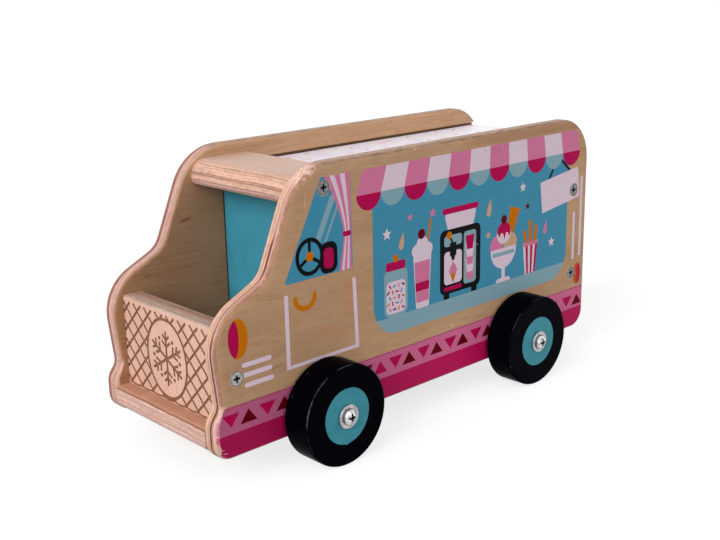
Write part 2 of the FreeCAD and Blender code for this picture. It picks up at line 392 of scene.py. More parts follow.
def ply_edge(finish, axis, share, thickness, pattern, lines_show=1.0):
    """Colour and fibre of a cut edge: its layers, mottled and streaked along the edge, with uneven glue lines.

    share runs from 0 at one face to 1 at the other.
    """
    layers, lines = pattern
    stops = [(at, colour) for colour, *places in layers for at in places]
    moved_share = share
    for noise, sway in ((finish.grain(axis, 6, 24, 2), 1.3), (finish.grain(axis, 90, 160, 2), 0.5)):
        moved_share = (noise - 0.5) * (sway / thickness) + moved_share
    fibre = finish.grain(axis, 1500, 45)
    level = fibre.fade(0.34, 0.7) * 0.2 + 0.53
    level = finish.grain(axis, 520, 22, 2).fade(0.34, 0.66) * 0.1 + level
    level = finish.grain(axis, 700, 260).fade(0.36, 0.64) * 0.16 + level
    wood = level.scale(moved_share.ramp(stops))
    wood = (finish.grain(axis, 1100, 320).fade(0.62, 0.76) * 0.3).mix(wood, tone(248, 220, 212))
    for number, (at, half_width, strength) in enumerate(lines):
        patches = finish.grain(axis, 240 + 31 * number, 15 + 4 * number)
        shown = (abs(moved_share - at) * thickness).fade(1.6 * half_width, 0.5 * half_width) * strength
        shown = shown * patches.fade(0.34 - 0.16 * strength, 0.52 - 0.16 * strength) * lines_show
        wood = shown.mix(wood, glue_brown)
    return wood, fibre


def plywood(name, node, axis, pattern, grain_axis, tones, over=None):
    """Clear-finished plywood board whose thickness runs along one axis; over may change its colour."""
    finish = Finish(name, 0.52, specular=0.3)
    board_low, board_high = box_mm(node)
    thickness = board_high[axis] - board_low[axis]
    face, pores = veneer(finish, grain_axis, tones)
    share = (board_high[axis] - finish.place.axes()[axis]) / thickness
    edge, fibre = ply_edge(finish, axis, share, thickness, pattern)
    wood = abs(finish.facing.axes()[axis]).fade(0.8, 0.95).mix(edge, face)
    return finish.apply(over(finish, wood) if over else wood, pores + fibre, 0.12)


def ink(name, colour, specular=0.2, shade=0.9):
    """Screen-printed ink over wood: flat and satin, with the grain showing faintly and a few tiny chips."""
    finish = Finish("ink_" + name, specular=specular)
    weave = finish.noise(900, 2)
    grain = finish.grain(X, 40, 900, 2)
    darker = tuple(part * shade for part in colour[:3]) + (1.0,)
    base = (weave * grain.fade(0.3, 0.7)).mix(colour, darker)
    return finish.apply(finish.specks(95, 0.05, 0.03).mix(base, tone(226, 196, 190)), grain + weave, 0.08)


inks = {name: ink(name, tone(*screen), *more) for name, screen, *more in (
    ("teal", (62, 144, 176)),
    ("grey_teal", (136, 172, 184)),
    ("pink", (218, 121, 161)),
    ("white", (230, 208, 222), 0.2, 0.95),
    ("magenta", (186, 8, 82), 0.06),
    ("maroon", (100, 0, 14), 0.04),
    ("orange", (208, 117, 0), 0.05),
    ("rust", (206, 90, 50), 0.05),
    ("rose", (192, 34, 64), 0.06),
    ("tan", (208, 166, 128)),
    ("black", (8, 6, 10), 0.05, 0.7),
    ("scuff", (152, 98, 130)),
    ("pale_tan", (227, 194, 168)),
    ("pale_pink", (236, 172, 198)),
    ("pale_orange", (222, 160, 96)),
)}

# ---- printed sides

screw_hole_radius = 4.3
side_screws = ["header_screw", "grille_screw", "rear_upper_screw", "rear_lower_screw"]

band_dark_top = low + 13.3
band_top = low + 27.4
triangle_pitch = 22.7
triangle_half = 5.25
triangle_height = 6.9
triangle_foot = low + 16.7
first_triangle = nose - 10.1
swapped_pair = 4
level_pairs = 5              # the triangles behind these sag

awning_top = high - 7.3
awning_fold = high - 20.6
awning_front = nose - 101.5
awning_rear = rear + 12.8
fold_front = nose - 96.2
fold_rear = rear + 9.1
awning_stripes = 11

window_front = nose - 107.5
window_rear = rear + 20.8
window_sill = low + 37.2
counter_top = low + 47.0
window_corner = 18.0


def triangle_border():
    """Row of triangles along the pink band, pointing down and up in turn."""
    rows = []
    for pair in range(13):
        foot = triangle_foot - 0.2 * max(pair - level_pairs, 0)
        crown = foot + triangle_height
        down_x = first_triangle - pair * triangle_pitch
        up_x = down_x - triangle_pitch / 2 + 0.6
        colours = ("maroon", "magenta") if pair == swapped_pair else ("magenta", "maroon")
        for x, base, tip, colour in ((down_x, crown, foot, colours[0]), (up_x, foot, crown, colours[1])):
            rows.append(("triangle_print", colour, [(x - triangle_half, base), (x + triangle_half, base), (x, tip)]))
    return rows


def awning():
    """Striped awning that widens downwards, with a scallop under each stripe and a few scuffs."""

    def top(stripe):
        return awning_front + (awning_rear - awning_front) * stripe / awning_stripes

    def fold(stripe):
        return fold_front + (fold_rear - fold_front) * stripe / awning_stripes

    rows = []
    for i in range(awning_stripes):
        scallop_ink, front_ink = ("grey_teal", "white") if i % 2 else ("magenta", "pink")
        half = (fold(i) - fold(i + 1)) / 2
        rows.append((scallop_ink, arc((fold(i) - half, awning_fold), half, 180, 360, 18, 0.98)))
        rows.append((front_ink, [(top(i), awning_top), (fold(i), awning_fold), (fold(i + 1), awning_fold),
                                 (top(i + 1), awning_top)]))
    # Each scuff: stripes behind the awning's front, then where it starts and ends below the awning's top.
    scuffs = ((6.25, 1.0, 5.6), (6.42, 0.4, 3.4), (6.52, 2.2, 4.4), (6.8, 0.8, 2.0), (5.75, 1.6, 2.4))
    for stripe, start, end in scuffs:
        path = [(top(stripe), awning_top - start), (top(stripe - 0.05), awning_top - end)]
        rows.append(("scuff", stroke(path, 0.4)))
    return [("awning_print", *row) for row in rows]


def serving_window():
    """Window opening with its counter along the foot."""
    crown = awning_fold - 1
    opening = rounded([(window_front, window_sill, window_corner), (window_rear, window_sill, window_corner),
                       (window_rear, crown, 0), (window_front, crown, 0)], steps=12)
    shelf = [(x, z) for x, z in opening if z < counter_top - 0.3]
    rise = window_corner - (counter_top - window_sill)
    inset = window_corner - math.sqrt(window_corner ** 2 - rise ** 2)
    shelf += [(window_rear + inset, counter_top), (window_front - inset, counter_top)]
    return [("window_print", "teal", opening), ("window_print", "grey_teal", shelf)]


def hanging_sign():
    """Blank board hung askew, after its two strings."""
    hang = (rear + 28.6, high - 43.4, -7.5)
    half_width, half_height = 19.6, 9.9
    eyes = moved([(-0.55 * half_width, half_height), (0.55 * half_width, half_height)], *hang)
    rows = [("black", stroke([(rear + 31.5, awning_fold - 1.2), eye], 1.7, 0)) for eye in eyes]
    rows.append(("white", moved(bar(-half_width, half_width, -half_height, half_height), *hang)))
    return [("sign_print", *row) for row in rows]


def lens(centre, half_width, half_height, facing, cut=0.38, bulge=0.09):
    """Part of an elliptical lamp on the side it faces, with a curved edge across the lamp."""
    tip = math.degrees(math.acos(cut))
    curved = arc((0.0, 0.0), half_width, -tip, tip, 16, half_height / half_width)
    tip_x, tip_z = curved[-1]
    reach = tip_x + bulge * half_width
    across = arc((tip_x, 0.0), reach, 90, 270, 16, tip_z / reach)
    return [(centre[0] + facing * x, centre[1] + z) for x, z in curved + across[1:-1]]


def lamps_and_trim():
    """Head and tail lights, vents, door lines, the handle and rear slats."""
    rows = []
    for centre, size, facing, shell_ink, lens_ink in (
            ((nose - 16.6, low + 60.8), (5.9, 10.3), 1, "orange", "magenta"),
            ((rear + 7.9, low + 36.4), (3.8, 7.3), -1, "rust", "rose")):
        rows.append(("light_print", shell_ink, ellipse(centre, *size)))
        rows.append(("light_print", lens_ink, lens(centre, *size, facing)))
    # Vents: front end and rear end behind the nose, height above the board's bottom edge.
    lines = [stroke([(nose - front_end, low + height), (nose - rear_end, low + height)], 2.5)
             for front_end, rear_end, height in ((19.4, 35.4, 46.5), (19.6, 35.6, 41.3), (20.6, 36.4, 35.9))]
    door_front, door_rear, door_foot = nose - 47.4, nose - 94.2, low + 37.3
    lines += [
        stroke([(door_front + 0.1, low + 75.6), (door_front, door_foot - 0.95)], 2.5, 0),
        stroke([(door_rear - 0.8, door_foot - 0.95), (door_rear + 0.8, low + 75.4)], 2.5, 0),
        stroke([(door_front, door_foot), (door_rear - 0.8, door_foot)], 1.9, 0),
    ]
    lines += [bar(rear + setback - 1.2, rear + setback + 1.2, low + foot, low + crown, 0.4)
              for setback, foot, crown in ((6.0, 48.2, 100.8), (13.2, 47.0, 78.5))]
    rows += [("trim_print", "white", line) for line in lines]
    handle = arc((nose - 59.6, low + 72.4), 6.5, 180, 360, 14, squash=0.95)
    return rows + [("trim_print", "orange", stroke(handle, 2.7))]


def cab_window():
    """Driver's window: a seat, a striped curtain and a steering wheel behind glass with two bands of glare."""
    sill, crown = low + 81.0, high - 7.2
    front_foot, front_crown, back = nose - 46.4, nose - 71.9, nose - 92.2
    rows = [("teal", rounded([(front_foot, sill, 1.2), (front_crown, crown, 1.5), (back, crown, 1.5),
                              (back - 0.6, sill, 1.5)]))]
    for setback, width in ((12.5, 4.2), (19.5, 1.6)):
        foot_x, crown_x = front_foot - setback, front_foot - setback - 19.5
        rows.append(("grey_teal", [(foot_x, sill + 3.0), (foot_x - width, sill + 3.0),
                                   (crown_x - width, crown - 10.0), (crown_x, crown - 10.0)]))
    rows.append(("black", bar(back + 10.0, back + 22.0, sill + 0.5, sill + 17.0, 4.5)))
    rows.append(("magenta", bar(back + 12.6, back + 19.4, sill + 3.0, sill + 13.8, 2.6)))
    rows += curtain(back + 0.2, sill, crown)
    hub = (nose - 63.5, sill + 11.5)
    rows += [("black", ellipse(hub, 9.3, 9.9)), ("teal", ellipse(hub, 7.0, 7.6))]
    rows += [("black", stroke([hub, polar(hub, 8.2, angle, 8.8 / 8.2)], 1.9, 0)) for angle in (90, 210, 330)]
    rows.append(("orange", ellipse(hub, 2.6, 2.6, 20)))
    return [("cab_print", *row) for row in rows]


def curtain(back, sill, crown, stripes=5):
    """Striped curtain at the window's rear, gathered by a band."""
    tie = sill + 19.0
    heights = [sill + 0.01 + (crown - sill - 0.02) * i / 24 for i in range(25)]

    def edge(share):
        upper = [12.5 * (max(z - tie, 0.0) / (crown - tie)) ** 1.5 for z in heights]
        lower = [3.6 * (max(tie - z, 0.0) / (tie - sill)) ** 1.2 for z in heights]
        return [(back + (5.0 + a + b) * share, z) for a, b, z in zip(upper, lower, heights)]

    rows = [("white" if i % 2 else "pink", edge(i / stripes) + edge((i + 1) / stripes)[::-1]) for i in range(stripes)]
    return rows + [("magenta", bar(back, back + 5.8, tie - 1.4, tie + 1.4, 0.9))]


# The pieces on the counter are drawn round the middle of their own foot.


def machine():
    """Soft-serve machine: a black cabinet with a white hopper, a lever tap over a cone, and a stack of cups."""
    rows = [
        ("black", bar(-14.5, -9.5, 0, 4)),
        ("black", bar(9.5, 14.5, 0, 4)),
        ("black", bar(-17.5, 17.5, 3, 41, 4.0)),
        ("white", taper(11, 14, 41, 51, 0, 2.5)),
        ("magenta", bar(-15.5, 15.5, 50, 53.5, 1.6)),
        ("white", bar(-1.2, 14.0, 8.5, 28, 2.5)),
        ("grey_teal", bar(-1.2, 14.0, 31, 37.5, 2.0)),
        ("magenta", bar(-1.2, 14.0, 4.8, 7.2, 1.1)),
        ("grey_teal", bar(-13.6, -2.8, 6, 37.5, 2.0)),
        ("black", bar(3.6, 9.2, 25, 33, 0.8)),
        ("black", [(4.6, 25.2), (5.3, 22.5), (7.5, 22.5), (8.2, 25.2)]),
        ("black", stroke([(6.4, 32), (9.4, 37)], 1.4)),
        ("orange", ellipse((9.7, 37.6), 2.3, 2.3, 20)),
        ("orange", [(3.4, 15.6), (9.4, 15.6), (6.4, 8.8)]),
        ("pink", ellipse((6.4, 16.2), 3.7, 1.7, 20)),
        ("pink", ellipse((6.4, 18.4), 2.7, 1.5, 20)),
        ("pink", drop((6.4, 20.3), 3.4, 4.2)),
    ]
    for step, colour in enumerate(["pink", "white", "pink", "white", "magenta"]):
        rows.append((colour, moved(taper(2.6, 3.9, 8.0, 16.4), -8.2, 4.6 * step)))
    return rows


def sprinkle_jar():
    """Round-shouldered jar of sprinkles."""
    rows = [
        ("grey_teal", bar(-9, 9, 0, 27, 4.0)),
        ("white", bar(-7.4, 7.4, 1.6, 20, 2.8)),
        ("magenta", bar(-7.5, 7.5, 26, 31, 1.4)),
        ("orange", ellipse((0, 32.6), 2.2, 2.2, 20)),
    ]
    colours = ["magenta", "orange", "maroon", "pink", "teal"]
    for row in range(5):
        for column in range(4):
            centre = (-5.1 + 3.4 * column + (0.9 if row % 2 else -0.5), 4.0 + 3.3 * row)
            colour = colours[(row * 3 + column) % 5]
            rows.append((colour, dash(centre, 35 + 67 * (row * 4 + column), 0.9, 1.0, 4)))
    return rows


def milkshake():
    """Tall glass of milkshake with cream, a cherry and a straw."""
    return [
        ("orange", stroke([(-1.5, 26), (-7.0, 50)], 1.7, 0)),
        ("white", taper(5.2, 7.4, 0, 32, 1, 0.8)),
        ("pink", taper(5.0, 6.4, 3.5, 27)),
        ("magenta", taper(5.4, 5.75, 10, 15)),
        ("white", ellipse((-4.0, 33.5), 4.4, 3.8, 24)),
        ("white", ellipse((4.0, 33.5), 4.4, 3.8, 24)),
        ("white", ellipse((0, 37.0), 4.6, 4.2, 24)),
        ("maroon", ellipse((0.6, 42.6), 2.9, 2.9, 24)),
    ]


def sundae():
    """Footed glass with three scoops, a wafer fan and sauce."""
    drips = [(-6.3, 30.0), (-5.2, 27.4), (-3.9, 30.0), (-2.2, 30.4), (-0.8, 26.2), (0.8, 30.2), (2.6, 30.4),
             (4.0, 28.0), (5.4, 30.4)]
    return [
        ("orange", [(-7.0, 24), (-15.0, 43), (-6.0, 45.5), (-1.5, 26)]),
        ("tan", ellipse((-6.4, 23.6), 6.2, 6.0, 28)),
        ("pink", ellipse((6.4, 23.6), 6.2, 6.0, 28)),
        ("white", ellipse((0, 30.0), 6.6, 6.4, 28)),
        ("magenta", arc((0, 31.0), 6.3, 0, 180, 12, 0.95) + drips),
        ("maroon", ellipse((0, 38.6), 2.7, 2.7, 24)),
        ("white", arc((0, 21), 12.0, 180, 360, 20, 1.05)),
        ("grey_teal", bar(-10.2, 10.2, 16.4, 18.8, 0.6)),
        ("white", bar(-1.6, 1.6, 1.5, 10)),
        ("white", taper(7.5, 5.5, 0, 2.4, 0.6, 1)),
    ]


def wafer_cup(foot_half=5.0, brim_half=7.2, brim=19.0, stripes=6):
    """Striped paper cup of rolled wafers."""
    rows = [("orange", stroke([(x * 0.7, 12), (x + lean, height)], 2.9, 0))
            for x, lean, height in ((-3.6, -2.2, 30), (3.8, 2.4, 28), (0.2, 0.3, 34))]
    for i in range(stripes):
        left, right = -1 + 2 * i / stripes, -1 + 2 * (i + 1) / stripes
        rows.append(("white" if i % 2 else "magenta", [
            (foot_half * left, 0), (foot_half * right, 0), (brim_half * right, brim), (brim_half * left, brim)]))
    return rows + [("pink", bar(-brim_half - 0.6, brim_half + 0.6, brim - 1.2, brim + 1.2, 0.8))]


def window_display():
    """What stands on the counter, from the front to the rear, and the stars and drops behind it."""
    rows = []
    places = ((17.0, sprinkle_jar), (38.0, milkshake), (70.0, machine), (109.0, sundae), (135.0, wafer_cup))
    for setback, item in places:
        rows += [(colour, moved(outline, window_front - setback, counter_top + 0.01)) for colour, outline in item()]
    # Each row: ink, kind, distance behind the window's front edge, height above the counter, size.
    for colour, kind, setback, height, size in (
            ("white", star, 10.5, 47.0, 3.6), ("tan", drop, 22.0, 41.5, 6.0), ("pink", star, 46.5, 53.0, 3.0),
            ("tan", drop, 95.5, 48.0, 6.5), ("white", star, 126.5, 55.5, 3.2), ("pink", drop, 150.0, 27.0, 5.5),
            ("white", star, 156.5, 16.0, 3.4), ("tan", star, 94.5, 31.5, 2.6), ("maroon", star, 131.5, 43.0, 2.6),
            ("pink", star, 28.5, 53.5, 2.4)):
        centre = (window_front - setback, counter_top + height)
        rows.append((colour, star(centre, size) if kind is star else drop(centre, size * 0.9, size * 1.7, 12)))
    return [("display_print", *row) for row in rows]


def screw_holes():
    """Ragged gaps in the print round the countersunk screws."""
    rows = []
    for number, name in enumerate(side_screws):
        middle = middle_mm(name + "_left").xz
        gap = []
        for degrees in range(0, 360, 10):
            t = math.radians(degrees)
            reach = screw_hole_radius + 0.16 * math.sin(3 * t + number) + 0.1 * math.sin(8 * t + 2 * number)
            gap.append(polar(middle, reach, degrees))
        rows.append((None, None, gap))
    return rows


def side_prints():
    """All printed outlines of one side, as rows of (piece, ink, outline), the lowest ink first."""
    *strings, board = hanging_sign()
    rows = triangle_border() + serving_window() + window_display() + strings + awning() + [board]
    return rows + lamps_and_trim() + cab_window() + screw_holes()


def add_object(name, data):
    """Puts a mesh, a lamp or a camera in the scene."""
    item = bpy.data.objects.new(name, data)
    scene.collection.objects.link(item)
    return item


def add_piece(name, mesh, body):
    """Puts a finished mesh in the scene, riding on a body."""
    piece = add_object(name, mesh)
    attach(piece, body)
    return piece


def flat_piece(name, points, kept, space, materials, flip, body, slot):
    """Adds a piece made of labelled triangles; space turns a flat point into a place."""
    used = sorted({i for triangles in kept.values() for triangle in triangles for i in triangle})
    numbers = {old: new for new, old in enumerate(used)}
    mesh = bpy.data.meshes.new(name)
    faces, slots = [], []
    for label, triangles in kept.items():
        slots += [len(mesh.materials)] * len(triangles)
        mesh.materials.append(materials[label])
        faces += [[numbers[i] for i in (triangle[::-1] if flip else triangle)] for triangle in triangles]
    mesh.from_pydata([Vector(space(*points[i])) * MM for i in used], [], faces)
    mesh.polygons.foreach_set("material_index", slots)
    add_piece(name, mesh, body)


print_points, printed = partition([((piece, colour) if piece else None, outline)
                                   for piece, colour, outline in side_prints()])
for side, sign in (("left", 1), ("right", -1)):
    for piece in sorted({label[0] for label in printed}):
        kept = {colour: triangles for (group, colour), triangles in printed.items() if group == piece}
        flat_piece(piece + "_" + side, print_points, kept, lambda x, z: (x, sign * (outer_y + print_lift), z), inks,
                   sign > 0, "root", "plywood_side")

# ---- side boards


def behind(x, z, line_x, line_z, lean):
    """Distance behind a straight line through a point; lean turns its outward normal up from forward."""
    ahead, up = polar((0.0, 0.0), 1.0, lean)
    return (line_x - x) * ahead + (line_z - z) * up


def inside_outline(x, z):
    """How far a place lies behind the boards' front outline: the nose, the hood and the windscreen post."""
    hood_and_post = behind(x, z, nose - 35.7, low + 86.4, 64.2).math(
        "MAXIMUM", behind(x, z, nose - 35.7, low + 86.4, 23.0))
    return behind(x, z, nose - 0.8, low + 69.5, -5.7).math("MINIMUM", hood_and_post)


def inside_nose(x, z, corner=10.0):
    """How far a place lies inside the boards' outline at the bumper's nose."""
    past = (x - (nose - corner)).math("MAXIMUM", 0.0)
    under = (low + corner - z).math("MAXIMUM", 0.0)
    rounded_end = corner - (past * past + under * under).math("SQRT")
    return rounded_end.math("MINIMUM", behind(x, z, nose - 5.1, low + 26.7, 38.1))


# Marks in the wood of each side. Each row: centre X and Z, half length, half width, tilt, strength, colour.
fleck, tick = tone(112, 58, 32), tone(58, 36, 26)
chip, dot = tone(244, 208, 196), tone(240, 200, 196)
figure, flame = tone(176, 122, 86), tone(204, 136, 96)
left_marks = [
    (88.8, 137.4, 4.4, 0.22, 96, 0.55, dot),
    (121.0, 97.0, 0.7, 0.5, 0, 0.5, tick),
    (97.5, 70.5, 0.6, 0.5, 0, 0.4, tick),
    (-20.4, 47.2, 0.8, 0.8, 0, 0.85, dot),
    (-25.6, 47.3, 0.6, 0.5, 0, 0.45, dot),
    (110.6, 57.4, 5.0, 0.9, -4, 0.25, fleck),
    (113.5, 94.2, 13.0, 1.6, 8, 0.34, figure),
    (117.0, 71.4, 12.0, 1.1, 6, 0.3, figure),
    (106.0, 70.0, 7.0, 0.7, 4, 0.28, figure),
    (-45.9, 155.0, 1.5, 0.3, 2, 0.7, tick),
    (10.0, 154.2, 0.8, 0.5, 20, 0.7, dot),
    (61.3, 82.1, 13.0, 3.4, 96, 0.4, flame),
    (73.4, 66.3, 14.0, 2.8, 22, 0.4, flame),
    (87.0, 90.1, 0.4, 0.5, 0, 0.5, fleck),
]
right_marks = [
    (99.0, 116.5, 4.2, 1.0, -8, 0.6, fleck),
    (125.4, 89.9, 2.8, 0.7, -8, 0.4, fleck),
    (-62.8, 153.6, 1.5, 0.3, 75, 0.8, tick),
]
left_scratches = [(146.2, 23.6, 1.4, 0.16, 24), (144.6, 21.2, 1.6, 0.2, 12), (142.0, 38.0, 0.6, 0.35, 50)]
bruise = (87.0, 152.6, 9.0, 4.0, -42)

# How much the glue lines show up the boards' front edge, as rows of (share of the height, grey level).
gap_shows = [(share, grey(level)) for share, level in (
    (0.0, 1.0), (0.43, 1.0), (0.5, 0.5), (0.6, 0.5), (0.65, 1.0), (0.74, 1.0), (0.79, 0.3), (1.0, 0.25))]


def side_face(finish, outward, inward, rub, marks):
    """Face of a side board: lighter and warmer behind the front outline, partly painted light and partly a sanded
    tint, darker along the top towards the rear, painted shade in the cab, and marked.
    """
    x, _, z = finish.place.axes()
    face, pores = veneer(finish, X, side_veneer)
    # Painted light, with a sanded tint: the flat face is lighter and warmer just behind the front outline.
    front_light_and_sanding = inside_outline(x, z).fade(6.8, 2.2) * 0.4 * outward.fade(0.96, 0.995)
    face = front_light_and_sanding.mix(face, tone(214, 162, 128))
    # The outer face is darker along its top towards the rear.
    darker_top_rear = z.fade(high - 9.0, high - 5.0) * x.fade(-10, -60) * outward.fade(0.0, 0.5)
    face = darker_top_rear.mix(face, face.vector("MULTIPLY", (0.8, 0.74, 0.72)))
    # Painted shade: the inner face is darkened inside the cab, less so towards the bulkhead.
    painted_cab_shade = inward * z.fade(high - 12.0, high - 17.0) * (x.fade(78, 115) * 0.4 + 0.6)
    face = painted_cab_shade.mix(face, face.vector("MULTIPLY", (0.74, 0.65, 0.62)))
    for *oval, strength, colour in marks:
        face = (finish.spot(*oval) * rub.fade(0.25, 0.55) * strength).mix(face, colour)
    for screw in side_screws:
        lip = abs(finish.reach(screw + "_left") - 4.2).fade(0.5, 0.2)
        face = (lip * rub.fade(0.4, 0.6) * 0.7).mix(face, tone(232, 190, 172))
    return face, pores


def painted_side(name, edge_pattern, inner_arris, marks, scratches, bruised):
    """Side board: plywood whose outer face carries the two colour bands, worn through at the rounded edge.

    inner_arris is the turn of the surface at which the inner face starts and is whole.
    """
    finish = Finish(name, specular=0.12)
    x, y, z = finish.place.axes()
    outward = finish.facing.axes()[Y] * y.math("SIGN")
    upward = finish.facing.vector("MULTIPLY", (1.0, 0.0, 1.0)).vector("NORMALIZE").axes()[Z]
    depth = outer_y - abs(y)
    share = depth / board_thickness
    rub = finish.noise(430, 4)
    fine = finish.noise(1300, 2)

    inward = outward.fade(*inner_arris)
    face, pores = side_face(finish, outward, inward, rub, marks)
    lines_show = ((z - low) / (high - low)).ramp(gap_shows)
    edge, fibre = ply_edge(finish, Y, share, board_thickness, edge_pattern, lines_show)
    top = finish.grain(X, 130, 520, 4).fade(0.38, 0.62).mix(*weathered_top)
    edge = upward.fade(0.94, 0.995).mix(edge, top)
    on_face = outward.fade(0.88, 0.985).math("MAXIMUM", inward)
    wood = on_face.mix(edge, face)

    # Sanded rounding: pale raised fibres, most of them at the corner over the windscreen.
    if bruised:
        wood = (finish.spot(*bruise) * rub.fade(0.44, 0.62) * 0.75).mix(wood, chip)
    fuzz = depth.fade(0.4, 0.9) * depth.fade(2.6, 1.7) * fine.fade(0.5, 0.68) * upward.fade(0.99, 0.9)
    wood = (fuzz * 0.26).mix(wood, chip)
    wood = (finish.specks(70, 0.09, 0.07) * upward.fade(0.9, 0.99) * 0.6).mix(wood, tick)

    grain = finish.grain(X, 40, 900, 2) * 0.6
    in_pink = z.fade(band_dark_top - 0.06, band_dark_top + 0.06)
    bands = in_pink.mix(grain.mix(tone(183, 14, 85), tone(168, 9, 74)),
                        grain.mix(tone(202, 104, 143), tone(188, 91, 130)))
    # Painted light: the bands are darkened towards the front and lightened towards the rear.
    bands = (x.fade(120, -30) * 0.32 + 0.88).scale(bands)
    bands = (z.fade(band_top - 1.1, band_top - 0.7) * 0.6).mix(bands, tone(166, 60, 104))

    # Paint stops unevenly at the rounding, and further in at the nose, where it has flaked.
    painted = ((rub - 0.5) * depth.fade(0.02, 0.2) * 1.6 + depth).fade(0.52, 0.24)
    at_nose = x.fade(nose - 8.5, nose - 6.5)
    inside = (rub - 0.5) * 1.2 + inside_nose(x, z)
    knocked = z.fade(low + 3.0, low + 7.0) * z.fade(low + 28.5, low + 18.0)
    bare = (inside - (knocked * 2.3 + 0.6)).fade(0.1, -0.1) * at_nose
    flakes = z.fade(low + 8.5, low + 11.0) * fine.fade(0.4, 0.5) * inside.fade(0.6, 1.0)
    worn_ink = in_pink.mix(tone(216, 66, 122), tone(230, 130, 174))
    thin = depth.fade(0.04, 0.3) * fine.fade(0.4, 0.58)
    bands = (thin * 0.85).mix(bands, tone(240, 150, 182))
    for scratch in scratches:
        bands = (finish.spot(*scratch) * 0.9).mix(bands, tone(244, 186, 200))
    bands = finish.specks(95, 0.05, 0.006).mix(bands, tone(232, 190, 190))
    bands = bare.mix(bands, rub.fade(0.46, 0.58).mix(worn_ink, tone(250, 210, 214)))
    fresh = z.fade(band_top + 3.0, band_top - 1.0) * at_nose
    fresh = fresh * (bare * on_face).math("MAXIMUM", share.fade(0.24, 0.12))
    wood = (fresh * 0.7).mix(wood, (fine * 0.3 + 0.8).scale(tone(236, 200, 178)[:3]))
    foot_line = abs(share - 0.21).fade(0.045, 0.02) * z.fade(low + 30.0, low + 22.0) * (1.0 - on_face)
    wood = (foot_line * 0.6).mix(wood, glue_brown)
    painted = painted * (1.0 - bare * (1.0 - flakes)) * outward.fade(0.0, 0.2)
    painted = painted * z.fade(band_top + 0.06, band_top - 0.06)
    return finish.apply(painted.mix(wood, bands), pores + fibre, 0.1)


# ---- engraved grille

grille_low, grille_high = box_mm("grille_board")
groove_depth = 0.45
groove_margin = 0.6            # above the board's foot
lattice_pitch = 10.37
lattice_line = 1.42
top_round = 1.6
medallion = (-2.0, grille_low.z + 23.3)


def lattice(half_width, foot, crown):
    """Engraved lines rising to each side, running out past the board's sides, with a small bow between their feet."""
    rows = []
    for slope, offset in ((1.0, -34.8), (-1.0, -42.0)):
        run = (crown - foot) / slope
        for i in range(-5, 14):
            start = offset + i * lattice_pitch - run
            first, last = sorted((start, start + run))
            first, last = max(first, -half_width - 2.0), min(last, half_width + 2.0)
            if last - first >= 1.0:
                rows.append(stroke([(y, foot + slope * (y - start)) for y in (first, last)], lattice_line, 0))
    for i in range(-1, 8):
        middle = -33.6 + i * lattice_pitch
        if abs(middle) + lattice_pitch / 2 < half_width:
            rows.append(stroke(arc((middle, foot + 1.3), lattice_pitch / 2, 180, 360, 10, squash=0.26), 1.0, 0))
    return rows


def snowflake(centre, reach, width):
    """Six-armed engraved snowflake with two pairs of barbs on each arm, and a bead between the arms."""
    rows = []
    for arm in range(90, 450, 60):
        rows.append(stroke([centre, polar(centre, reach, arm)], width))
        for share, barb in ((0.45, 0.30), (0.72, 0.24)):
            root = polar(centre, reach * share, arm)
            rows += [stroke([root, polar(root, reach * barb, arm + lean)], width * 0.9) for lean in (-52, 52)]
    return rows + [ellipse(polar(centre, 11.8, bead), 1.1, 1.1, 14) for bead in range(120, 480, 60)]


def grille_pattern():
    """Labelled outlines of the grille's front: land, grooves, and an oval medallion."""
    half_width = (grille_high.y - grille_low.y) / 2
    front = bar(grille_low.y, grille_high.y, grille_low.z, grille_high.z - top_round)
    grooves = lattice(half_width, grille_low.z + groove_margin, grille_high.z - 2.6)
    grooves.append(ellipse(medallion, 18.7, 22.2, 72))
    return ([("land", front)] + [("groove", outline) for outline in grooves]
            + [("land", ellipse(medallion, 17.1, 20.6, 72))]
            + [("groove", outline) for outline in snowflake(medallion, 14.4, 1.6)])


def grille_mesh():
    """Grille board with its front pattern sunk into the face."""
    points, kept = partition(grille_pattern(), on_first=True)
    front, back, top, bottom = grille_high.x, grille_low.x, grille_high.z, grille_low.z
    vertices, faces, places = [], [], {}

    def place(index, depth):
        if (index, depth) not in places:
            places[index, depth] = len(vertices)
            vertices.append((front - depth, points[index].x, points[index].y))
        return places[index, depth]

    for label, depth in (("land", 0.0), ("groove", groove_depth)):
        faces += [[place(i, depth) for i in triangle] for triangle in kept[label]]
    rim = dict.fromkeys(pair for t in kept["groove"] for pair in zip(t, t[1:] + t[:1]))
    for a, b in rim:
        at_side = min(abs(points[a].x), abs(points[b].x)) > grille_high.y - 0.001
        if (b, a) not in rim and not at_side:
            faces.append([place(a, groove_depth), place(a, 0.0), place(b, 0.0), place(b, groove_depth)])
    profile = arc((front - top_round, top - top_round), top_round, 0, 90, 6)
    profile += arc((back + top_round, top - top_round), top_round, 90, 180, 6)
    profile += [(back, bottom), (front, bottom)]
    first, count = len(vertices), len(profile)
    for y in (grille_low.y, grille_high.y):
        vertices += [(x, y, z) for x, z in profile]
    for i in range(first, first + count - 1):
        faces.append([i, i + 1, count + i + 1, count + i])
    faces.append(list(range(first, first + count))[::-1])
    faces.append(list(range(first + count, first + 2 * count)))
    mesh = bpy.data.meshes.new("grille_engraved")
    mesh.from_pydata([Vector(v) * MM for v in vertices], [], faces)
    mesh.validate()
    return mesh


def burn(finish, wood):
    """Darkens the grille's wood inside its grooves."""
    x, _, z = finish.place.axes()
    burnt = x.fade(grille_high.x - 0.04, grille_high.x - 0.3) * x.fade(grille_high.x - 1.0, grille_high.x - 0.6)
    burnt = burnt * z.fade(grille_high.z - 2.0, grille_high.z - 3.0)
    return burnt.mix(wood, finish.noise(300, 2).mix(tone(142, 96, 66), tone(112, 70, 46)))


grille = add_piece("grille_engraved", grille_mesh(), "root")
grille.data.materials.append(plywood("plywood_grille", "grille_board", X, grille_edge, Z, grille_veneer, burn))
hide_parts("grille_board")

# ---- finishes of the CAD nodes


